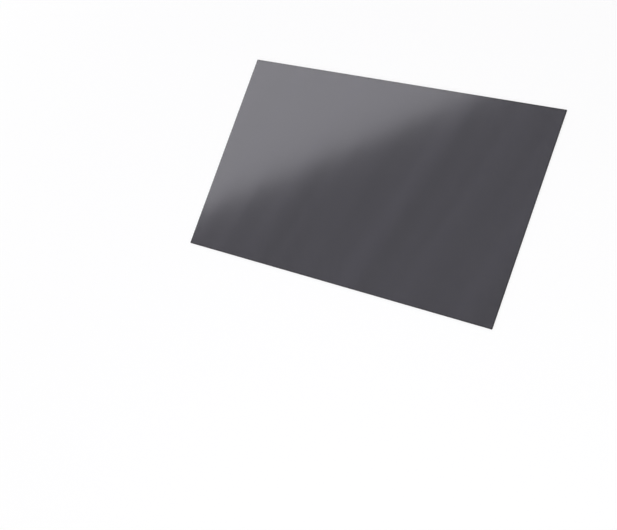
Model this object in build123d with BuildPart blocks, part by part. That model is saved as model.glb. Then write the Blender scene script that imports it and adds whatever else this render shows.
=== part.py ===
"""Laptop privacy filter: one die-cut sheet of dark tinted film, lying on its back face.

X runs along the long side, Y along the short side and Z out of the front face.
The origin is in the middle of the back face.
"""

import os

from build123d import *

# Driving dimensions, in millimetres
sheet_width = 344.0  # long side, the width of a 15.6 inch wide screen
sheet_height = 194.0  # short side, the height of that screen
sheet_thickness = 0.5  # from the back face to the front face
corner_radius = 0.5  # left by the die in each corner of the outline
front_edge_roll = 0.12  # rounding where the die enters, round the front face
back_edge_bevel = 0.05  # small bevel where the die leaves, round the back face

os.makedirs("parts", exist_ok=True)

# Filter sheet: the cut outline, given its thickness and the two rims that the die leaves
with BuildPart() as filter_sheet:
    with BuildSketch() as cut_outline:
        RectangleRounded(sheet_width, sheet_height, corner_radius)
    extrude(amount=sheet_thickness)

    front_rim = filter_sheet.edges().group_by(Axis.Z)[-1]
    fillet(front_rim, radius=front_edge_roll)

    back_rim = filter_sheet.edges().group_by(Axis.Z)[0]
    chamfer(back_rim, length=back_edge_bevel)

filter_sheet.part.label = "filter_sheet"
export_step(filter_sheet.part, "parts/filter_sheet.step")
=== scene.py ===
"""Dresses the laptop privacy filter as dark see-through film and lays it in a white studio."""

import math

import bpy
from bpy.props import FloatProperty, FloatVectorProperty, PointerProperty
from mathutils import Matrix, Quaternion, Vector


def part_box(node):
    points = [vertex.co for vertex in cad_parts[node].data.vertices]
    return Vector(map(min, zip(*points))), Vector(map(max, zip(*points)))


bl_info = {
    "name": "Laptop Privacy Filter",
    "version": (1, 0, 0),
    "blender": (4, 5, 0),
    "location": "View3D > Sidebar > Privacy Filter",
    "description": "Finishes the film sheet of a laptop privacy filter and sets up its studio",
    "category": "Material",
}

# Places and sizes in this file are in metres, in the frame of the sheet
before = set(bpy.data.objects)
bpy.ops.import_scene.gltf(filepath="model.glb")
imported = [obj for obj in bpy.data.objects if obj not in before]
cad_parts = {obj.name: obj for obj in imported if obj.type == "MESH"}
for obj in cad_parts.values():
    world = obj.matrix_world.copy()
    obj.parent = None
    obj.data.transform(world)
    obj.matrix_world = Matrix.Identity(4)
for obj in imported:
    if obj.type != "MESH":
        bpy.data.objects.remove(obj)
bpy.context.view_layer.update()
SHEET = "filter_sheet"
SHEET_LOW, SHEET_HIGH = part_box(SHEET)

# The photograph's width, and the focal length that fits the sheet's four corners in it
FRAME_WIDTH_PX = 617
FOCAL_LENGTH_PX = 1290.2
SENSOR_WIDTH_MM = 36.0

# The range of a mask, either way round
NONE_TO_ALL = (0.0, 1.0)
ALL_TO_NONE = (1.0, 0.0)


class FilmFinish(bpy.types.PropertyGroup):
    """Colour, cover and surface of the tinted film"""

    tint: FloatVectorProperty(
        name="Tint",
        description="Colour of the film itself, a charcoal that leans a little to violet",
        subtype="COLOR",
        default=(0.0320, 0.0298, 0.0414),
        min=0.0,
        max=1.0,
    )
    cover: FloatProperty(
        name="Cover",
        description="Share of what lies behind the sheet that the film hides",
        subtype="FACTOR",
        default=0.866,
        min=0.0,
        max=1.0,
    )
    ior: FloatProperty(
        name="IOR",
        description="How strongly the film bends light, which sets how much its faces mirror",
        default=1.5,
        min=1.0,
    )
    roughness: FloatProperty(
        name="Roughness",
        description="How far the satin face spreads a reflection",
        subtype="FACTOR",
        default=0.10,
        min=0.0,
        max=1.0,
    )
    roughness_drift: FloatProperty(
        name="Roughness drift",
        description="How much the roughness rises and falls from band to band",
        subtype="FACTOR",
        default=0.03,
        min=0.0,
        max=1.0,
    )
    band_width: FloatProperty(
        name="Band width",
        description="Distance from one soft band to the next across the sheet",
        unit="LENGTH",
        default=0.028,
        min=0.001,
    )
    band_length: FloatProperty(
        name="Band length",
        description="How far a band runs before it wanders",
        unit="LENGTH",
        default=0.9,
        min=0.001,
    )
    band_lean: FloatProperty(
        name="Band lean",
        description="How far the bands lean over from the short sides",
        subtype="ANGLE",
        default=math.radians(17.5),
    )
    band_layers: FloatProperty(
        name="Band layers",
        description="How many layers of finer bands lie over the slow ones",
        default=1.0,
        min=0.0,
    )
    band_layer_share: FloatProperty(
        name="Band layer share",
        description="How strong each finer layer is beside the one before it",
        subtype="FACTOR",
        default=0.4,
        min=0.0,
        max=1.0,
    )
    # The bands lighten and darken the tint as painted sheen streaks; they also drive the real roughness
    # drift and slow waves.
    painted_streak_depth: FloatProperty(
        name="Painted streak depth",
        description="How much the bands lighten and darken the tint",
        subtype="FACTOR",
        default=0.4,
        min=0.0,
        max=1.0,
    )
    wave_height: FloatProperty(
        name="Wave height",
        description="Height of the slow waves that the film was drawn with, along the bands",
        unit="LENGTH",
        default=0.00005,
        min=0.0,
    )
    edge_colour: FloatVectorProperty(
        name="Edge colour",
        description="Colour of the cut edge, where the dark core of the film is bare",
        subtype="COLOR",
        default=(0.0040, 0.0040, 0.0046),
        min=0.0,
        max=1.0,
    )
    edge_roughness: FloatProperty(
        name="Edge roughness",
        description="Roughness of the cut edge, which the die leaves matt",
        subtype="FACTOR",
        default=0.80,
        min=0.0,
        max=1.0,
    )
    edge_roll: FloatProperty(
        name="Edge roll",
        description="Width of the rounded rim, over which the matt edge turns into the satin face",
        unit="LENGTH",
        default=0.00015,
        min=0.0,
    )
    rim_width: FloatProperty(
        name="Rim width",
        description="How far in from the edge its dark core still darkens the two faces",
        unit="LENGTH",
        default=0.00110,
        min=0.0,
    )


class StudioStage(bpy.types.PropertyGroup):
    """Floor, light and camera"""

    floor_colour: FloatVectorProperty(
        name="Floor colour",
        description="Colour of the plain floor",
        subtype="COLOR",
        default=(0.95, 0.95, 0.95),
        min=0.0,
        max=1.0,
    )
    floor_size: FloatProperty(
        name="Floor size",
        description="Side of the square floor",
        unit="LENGTH",
        default=40.0,
    )
    floor_gap: FloatProperty(
        name="Floor gap",
        description="How far the floor lies under the sheet, so that the two faces don't coincide",
        unit="LENGTH",
        default=0.00004,
    )
    white_start: FloatProperty(
        name="White start",
        description="Distance from the middle of the sheet at which the floor begins to fade to white",
        unit="LENGTH",
        default=0.22,
    )
    white_end: FloatProperty(
        name="White end",
        description="Distance from the middle of the sheet beyond which the floor is plain white",
        unit="LENGTH",
        default=0.80,
    )
    surround_top: FloatProperty(
        name="Surround top",
        description="Height above the horizon up to which the surround is plain white",
        subtype="ANGLE",
        default=math.radians(7.0),
    )
    wall_height: FloatProperty(
        name="Wall height",
        description="Height above the horizon at which the room's walls are dimmest",
        subtype="ANGLE",
        default=math.radians(15.0),
    )
    wall_light: FloatProperty(
        name="Wall light",
        description="Light from the walls where they are dimmest, with white at 1",
        subtype="FACTOR",
        default=0.26,
        min=0.0,
        max=1.0,
    )
    ceiling_height: FloatProperty(
        name="Ceiling height",
        description="Height above the horizon from which the room is as light as its ceiling",
        subtype="ANGLE",
        default=math.radians(46.0),
    )
    ceiling_light: FloatProperty(
        name="Ceiling light",
        description="Light from the ceiling, with white at 1",
        subtype="FACTOR",
        default=0.70,
        min=0.0,
        max=1.0,
    )
    key_place: FloatVectorProperty(
        name="Key softbox place",
        description="Middle of the softbox whose reflection lightens the upper left of the sheet",
        subtype="TRANSLATION",
        unit="LENGTH",
        default=(-1.641, 0.799, 1.93),
    )
    key_size: FloatVectorProperty(
        name="Key softbox size",
        description="The two sides of the softbox",
        size=2,
        unit="LENGTH",
        default=(1.77, 0.70),
    )
    key_power: FloatProperty(
        name="Key softbox power",
        description="Light that the softbox gives, in watts",
        default=14.0,
        min=0.0,
    )
    key_colour: FloatVectorProperty(
        name="Key softbox colour",
        description="Colour of that light, a little cool",
        subtype="COLOR",
        default=(0.956, 0.941, 1.0),
        min=0.0,
        max=1.0,
    )
    overhead_place: FloatVectorProperty(
        name="Overhead softbox place",
        description="Middle of the softbox that lights the floor from overhead",
        subtype="TRANSLATION",
        unit="LENGTH",
        default=(0.6, -0.8, 2.4),
    )
    overhead_size: FloatVectorProperty(
        name="Overhead softbox size",
        description="The two sides of the softbox",
        size=2,
        unit="LENGTH",
        default=(2.0, 2.0),
    )
    overhead_power: FloatProperty(
        name="Overhead softbox power",
        description="Light that the softbox gives, in watts",
        default=28.5,
        min=0.0,
    )
    softbox_turn: FloatProperty(
        name="Softbox turn",
        description="Turn of the level softboxes, so that their reflection ends slantwise on the sheet",
        subtype="ANGLE",
        default=math.radians(32.2),
    )
    camera_place: FloatVectorProperty(
        name="Camera place",
        description="Where the camera stands, from the fit of the sheet's four corners",
        subtype="TRANSLATION",
        unit="LENGTH",
        default=(0.67503, -0.19610, 0.93623),
    )
    camera_aim: FloatVectorProperty(
        name="Camera aim",
        description="Where the middle of the picture meets the floor",
        subtype="TRANSLATION",
        unit="LENGTH",
        default=(-0.02715, -0.08660, 0.0),
    )
    camera_roll: FloatProperty(
        name="Camera roll",
        description="Turn of the camera about its view, so that the long side runs across the picture",
        subtype="ANGLE",
        default=math.radians(-63.24),
    )


def add_node(tree, kind, label, place, **settings):
    """Adds a shader node with a label, a place in the editor and its plain settings."""
    node = tree.nodes.new(kind)
    node.label = label
    node.location = place
    for name, value in settings.items():
        setattr(node, name, value)
    return node


def maths(tree, operation, label, place, *sources):
    """Adds a Math node on sockets or numbers and returns its output."""
    node = add_node(tree, "ShaderNodeMath", label, place, operation=operation)
    for socket, source in zip(node.inputs, sources):
        if isinstance(source, (int, float)):
            socket.default_value = source
        else:
            tree.links.new(source, socket)
    return node.outputs["Value"]


def spread(tree, label, place, value, source, target, shape="LINEAR"):
    """Adds a Map Range node that spreads a value from one (low, high) range over another."""
    node = add_node(tree, "ShaderNodeMapRange", label, place, interpolation_type=shape)
    tree.links.new(value, node.inputs["Value"])
    node.inputs["From Min"].default_value, node.inputs["From Max"].default_value = source
    node.inputs["To Min"].default_value, node.inputs["To Max"].default_value = target
    return node.outputs["Result"]


def new_material(name):
    """Makes a material with an empty node tree and a Material Output."""
    material = bpy.data.materials.new(name)
    material.use_nodes = True
    tree = material.node_tree
    tree.nodes.clear()
    output = add_node(tree, "ShaderNodeOutputMaterial", "Output", (1200, 0))
    return material, tree, output


def soft_bands(tree, finish, places):
    """Slow bands that lean over from the short sides, from 0 to 1, for the painted sheen streaks in the
    tint, the roughness drift and the slow waves.
    """
    lean = add_node(tree, "ShaderNodeMapping", "Lean and stretch", (-900, 300), vector_type="TEXTURE")
    lean.inputs["Rotation"].default_value = (0.0, 0.0, -finish.band_lean)
    lean.inputs["Scale"].default_value = (finish.band_width, finish.band_length, 1.0)
    tree.links.new(places, lean.inputs["Vector"])
    # The mapping alone sets the size of the bands, so the noise keeps its own scale at 1
    noise = add_node(tree, "ShaderNodeTexNoise", "Bands", (-700, 300))
    noise.inputs["Scale"].default_value = 1.0
    noise.inputs["Detail"].default_value = finish.band_layers
    noise.inputs["Roughness"].default_value = finish.band_layer_share
    tree.links.new(lean.outputs["Vector"], noise.inputs["Vector"])
    return noise.outputs["Fac"]


def distance_to_side(tree, places):
    """Distance of a place on the sheet from the nearest of its four sides."""
    apart = add_node(tree, "ShaderNodeSeparateXYZ", "Place on sheet", (-900, -200))
    tree.links.new(places, apart.inputs["Vector"])
    half_width = (SHEET_HIGH[0] - SHEET_LOW[0]) / 2
    half_height = (SHEET_HIGH[1] - SHEET_LOW[1]) / 2
    across = maths(tree, "ABSOLUTE", "From the middle, across", (-700, -120), apart.outputs["X"])
    along = maths(tree, "ABSOLUTE", "From the middle, along", (-700, -280), apart.outputs["Y"])
    to_short_side = maths(tree, "SUBTRACT", "To the short side", (-520, -120), half_width, across)
    to_long_side = maths(tree, "SUBTRACT", "To the long side", (-520, -280), half_height, along)
    return maths(tree, "MINIMUM", "To the nearest side", (-340, -200), to_short_side, to_long_side)


def film_colour(tree, finish, bands, rim):
    """The tint of the faces with painted sheen streaks along the bands, which gives way to the dark
    core at the rim.
    """
    # The light and dark bands in the tint are painted sheen streaks.
    streak_shades = (1.0 - finish.painted_streak_depth, 1.0 + finish.painted_streak_depth)
    painted_streaks = spread(tree, "Painted sheen streaks", (100, 300), bands, NONE_TO_ALL, streak_shades)
    tint = add_node(tree, "ShaderNodeVectorMath", "Tint with painted streaks", (300, 300), operation="SCALE")
    tint.inputs[0].default_value = finish.tint
    tree.links.new(painted_streaks, tint.inputs["Scale"])
    colour = add_node(tree, "ShaderNodeMix", "Film or edge", (500, 200), data_type="RGBA")
    tree.links.new(rim, colour.inputs["Factor"])
    tree.links.new(tint.outputs["Vector"], colour.inputs["A"])
    colour.inputs["B"].default_value = (*finish.edge_colour, 1.0)
    return colour.outputs["Result"]


def film_roughness(tree, finish, bands, edge):
    """The satin of the faces, which drifts with the bands, and the matt cut edge."""
    satins = (finish.roughness - finish.roughness_drift, finish.roughness + finish.roughness_drift)
    satin = spread(tree, "Drifting roughness", (500, 0), bands, NONE_TO_ALL, satins)
    gloss = add_node(tree, "ShaderNodeMix", "Satin or matt", (700, 0), data_type="FLOAT")
    tree.links.new(edge, gloss.inputs["Factor"])
    tree.links.new(satin, gloss.inputs["A"])
    gloss.inputs["B"].default_value = finish.edge_roughness
    return gloss.outputs["Result"]


def film_waves(tree, finish, bands):
    """The slow waves of the faces, which run along the bands, as a normal."""
    wave = add_node(tree, "ShaderNodeBump", "Slow waves", (500, -300))
    wave.inputs["Distance"].default_value = finish.wave_height
    tree.links.new(bands, wave.inputs["Height"])
    return wave.outputs["Normal"]


def film_cover(tree, finish, rim):
    """The share that is hidden, all of it at the rim, and counted once, by the face that is seen."""
    side = add_node(tree, "ShaderNodeNewGeometry", "Which side is seen", (100, -500))
    near_side = maths(tree, "SUBTRACT", "Near side", (300, -500), 1.0, side.outputs["Backfacing"])
    film_to_solid = (finish.cover, 1.0)
    cover = spread(tree, "Film cover or solid edge", (300, -100), rim, NONE_TO_ALL, film_to_solid)
    return maths(tree, "MULTIPLY", "Seen once", (700, -100), near_side, cover)


def film_material(finish):
    """Tinted film with painted sheen streaks, a satin face and a dark, matt cut edge."""
    material, tree, output = new_material("tinted_film")
    places = add_node(tree, "ShaderNodeTexCoord", "Places", (-1100, 0)).outputs["Object"]
    bands = soft_bands(tree, finish, places)
    to_side = distance_to_side(tree, places)
    rim = spread(tree, "Dark rim", (-160, -100), to_side, (0.0, finish.rim_width), ALL_TO_NONE)
    edge = spread(tree, "Matt edge", (-160, -300), to_side, (0.0, finish.edge_roll), ALL_TO_NONE)

    film = add_node(tree, "ShaderNodeBsdfPrincipled", "Film", (900, 0))
    film.inputs["IOR"].default_value = finish.ior
    tree.links.new(film_colour(tree, finish, bands, rim), film.inputs["Base Color"])
    tree.links.new(film_roughness(tree, finish, bands, edge), film.inputs["Roughness"])
    tree.links.new(film_waves(tree, finish, bands), film.inputs["Normal"])
    tree.links.new(film_cover(tree, finish, rim), film.inputs["Alpha"])
    tree.links.new(film.outputs["BSDF"], output.inputs["Surface"])
    return material


def floor_material(stage):
    """Pale floor that holds the sheet's shadow and fades to plain white further out."""
    material, tree, output = new_material("studio_floor")
    matt = add_node(tree, "ShaderNodeBsdfDiffuse", "Pale floor", (400, 100))
    matt.inputs["Color"].default_value = (*stage.floor_colour, 1.0)
    white = add_node(tree, "ShaderNodeEmission", "White", (400, -100))
    path = add_node(tree, "ShaderNodeLightPath", "Who looks", (-400, 300))
    rays = ("Is Camera Ray", "Is Glossy Ray", "Is Transmission Ray")
    eye, mirror, glass = (path.outputs[ray] for ray in rays)
    seen = maths(tree, "MAXIMUM", "Camera or mirror", (-200, 300), eye, mirror)
    seen = maths(tree, "MAXIMUM", "Or glass", (0, 300), seen, glass)
    places = add_node(tree, "ShaderNodeTexCoord", "Places", (-400, 0)).outputs["Object"]
    away = add_node(tree, "ShaderNodeVectorMath", "From the middle", (-200, 0), operation="LENGTH")
    tree.links.new(places, away.inputs[0])
    distance = away.outputs["Value"]
    fade = (stage.white_start, stage.white_end)
    whiter = spread(tree, "Whiter away", (0, 0), distance, fade, NONE_TO_ALL, shape="SMOOTHSTEP")
    share = maths(tree, "MULTIPLY", "White share", (200, 300), seen, whiter)
    mix = add_node(tree, "ShaderNodeMixShader", "Floor", (650, 0))
    tree.links.new(share, mix.inputs["Fac"])
    tree.links.new(matt.outputs["BSDF"], mix.inputs[1])
    tree.links.new(white.outputs["Emission"], mix.inputs[2])
    tree.links.new(mix.outputs["Shader"], output.inputs["Surface"])
    return material


class PRIVACY_OT_dress_sheet(bpy.types.Operator):
    """Give the filter sheet its tinted film"""

    bl_idname = "privacy_filter.dress_sheet"
    bl_label = "Dress Filter Sheet"

    def execute(self, context):
        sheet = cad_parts[SHEET]
        film = film_material(context.scene.privacy_film)
        for slot in sheet.material_slots:
            slot.material = film
        return {"FINISHED"}


class PRIVACY_OT_set_stage(bpy.types.Operator):
    """Lay the floor, light it and place the camera"""

    bl_idname = "privacy_filter.set_stage"
    bl_label = "Set Stage"

    def execute(self, context):
        stage = context.scene.privacy_stage
        self.lay_floor(context, stage)
        self.light_room(context, stage)
        turn = stage.softbox_turn
        key = self.hang_softbox(context, "key_softbox", stage.key_place, turn, stage.key_size)
        key.energy = stage.key_power
        key.color = stage.key_colour
        overhead = self.hang_softbox(
            context, "overhead_softbox", stage.overhead_place, turn, stage.overhead_size
        )
        overhead.energy = stage.overhead_power
        self.place_camera(context, stage)
        context.scene.view_settings.view_transform = "Standard"
        return {"FINISHED"}

    def lay_floor(self, context, stage):
        """Lays the floor just under the sheet."""
        bpy.ops.object.select_all(action="DESELECT")
        level = SHEET_LOW[2] - stage.floor_gap
        bpy.ops.mesh.primitive_plane_add(size=stage.floor_size, location=(0.0, 0.0, level))
        floor = context.active_object
        floor.name = "studio_floor"
        floor.data.materials.append(floor_material(stage))

    def light_room(self, context, stage):
        """Lights the scene softly from all round: white low down, dim walls and a light ceiling."""
        world = bpy.data.worlds.new("studio_room")
        world.use_nodes = True
        tree = world.node_tree
        way = add_node(tree, "ShaderNodeTexCoord", "Way looked", (-700, 0)).outputs["Generated"]
        apart = add_node(tree, "ShaderNodeSeparateXYZ", "Way up", (-500, 0))
        tree.links.new(way, apart.inputs["Vector"])
        room = add_node(tree, "ShaderNodeValToRGB", "Room", (-300, 0))
        tree.links.new(apart.outputs["Z"], room.inputs["Fac"])
        lights = (
            (stage.surround_top, 1.0),
            (stage.wall_height, stage.wall_light),
            (stage.ceiling_height, stage.ceiling_light),
        )
        stops = room.color_ramp.elements
        while len(stops) < len(lights):
            stops.new(1.0)
        for stop, (height, light) in zip(stops, lights):
            stop.position = math.sin(height)
            stop.color = (light, light, light, 1.0)
        tree.links.new(room.outputs["Color"], tree.nodes["Background"].inputs["Color"])
        context.scene.world = world

    def hang_softbox(self, context, name, place, turn, size):
        """Hangs a level softbox at a place, facing down, and returns its lamp."""
        lamp = bpy.data.lights.new(name, "AREA")
        lamp.shape = "RECTANGLE"
        lamp.size, lamp.size_y = size
        softbox = bpy.data.objects.new(name, lamp)
        softbox.location = place
        softbox.rotation_euler = (0.0, 0.0, turn)
        context.collection.objects.link(softbox)
        return lamp

    def place_camera(self, context, stage):
        """Stands the camera where the photograph's was, as seen from the sheet."""
        lens = bpy.data.cameras.new("camera")
        lens.sensor_fit = "HORIZONTAL"
        lens.sensor_width = SENSOR_WIDTH_MM
        lens.lens = FOCAL_LENGTH_PX / FRAME_WIDTH_PX * SENSOR_WIDTH_MM
        camera = bpy.data.objects.new("camera", lens)
        view = Vector(stage.camera_aim) - Vector(stage.camera_place)
        level = view.to_track_quat("-Z", "Y")
        roll = Quaternion((0.0, 0.0, 1.0), stage.camera_roll)
        camera.location = stage.camera_place
        camera.rotation_euler = (level @ roll).to_euler()
        context.collection.objects.link(camera)
        context.scene.camera = camera


class VIEW3D_PT_privacy_filter(bpy.types.Panel):
    """The filter's finish and studio, with the buttons that make them"""

    bl_label = "Laptop Privacy Filter"
    bl_space_type = "VIEW_3D"
    bl_region_type = "UI"
    bl_category = "Privacy Filter"

    def draw(self, context):
        groups = (
            (context.scene.privacy_film, PRIVACY_OT_dress_sheet),
            (context.scene.privacy_stage, PRIVACY_OT_set_stage),
        )
        for settings, operator in groups:
            box = self.layout.box()
            for name in settings.__annotations__:
                box.prop(settings, name)
            box.operator(operator.bl_idname)


CLASSES = (
    FilmFinish,
    StudioStage,
    PRIVACY_OT_dress_sheet,
    PRIVACY_OT_set_stage,
    VIEW3D_PT_privacy_filter,
)


def register():
    """Registers the classes and gives the scene its two groups of settings."""
    for cls in CLASSES:
        bpy.utils.register_class(cls)
    bpy.types.Scene.privacy_film = PointerProperty(type=FilmFinish)
    bpy.types.Scene.privacy_stage = PointerProperty(type=StudioStage)


def unregister():
    """Takes the settings and the classes away again."""
    del bpy.types.Scene.privacy_stage
    del bpy.types.Scene.privacy_film
    for cls in reversed(CLASSES):
        bpy.utils.unregister_class(cls)


def main():
    """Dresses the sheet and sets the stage."""
    register()
    bpy.ops.privacy_filter.dress_sheet()
    bpy.ops.privacy_filter.set_stage()


if __name__ == "__main__":
    main()
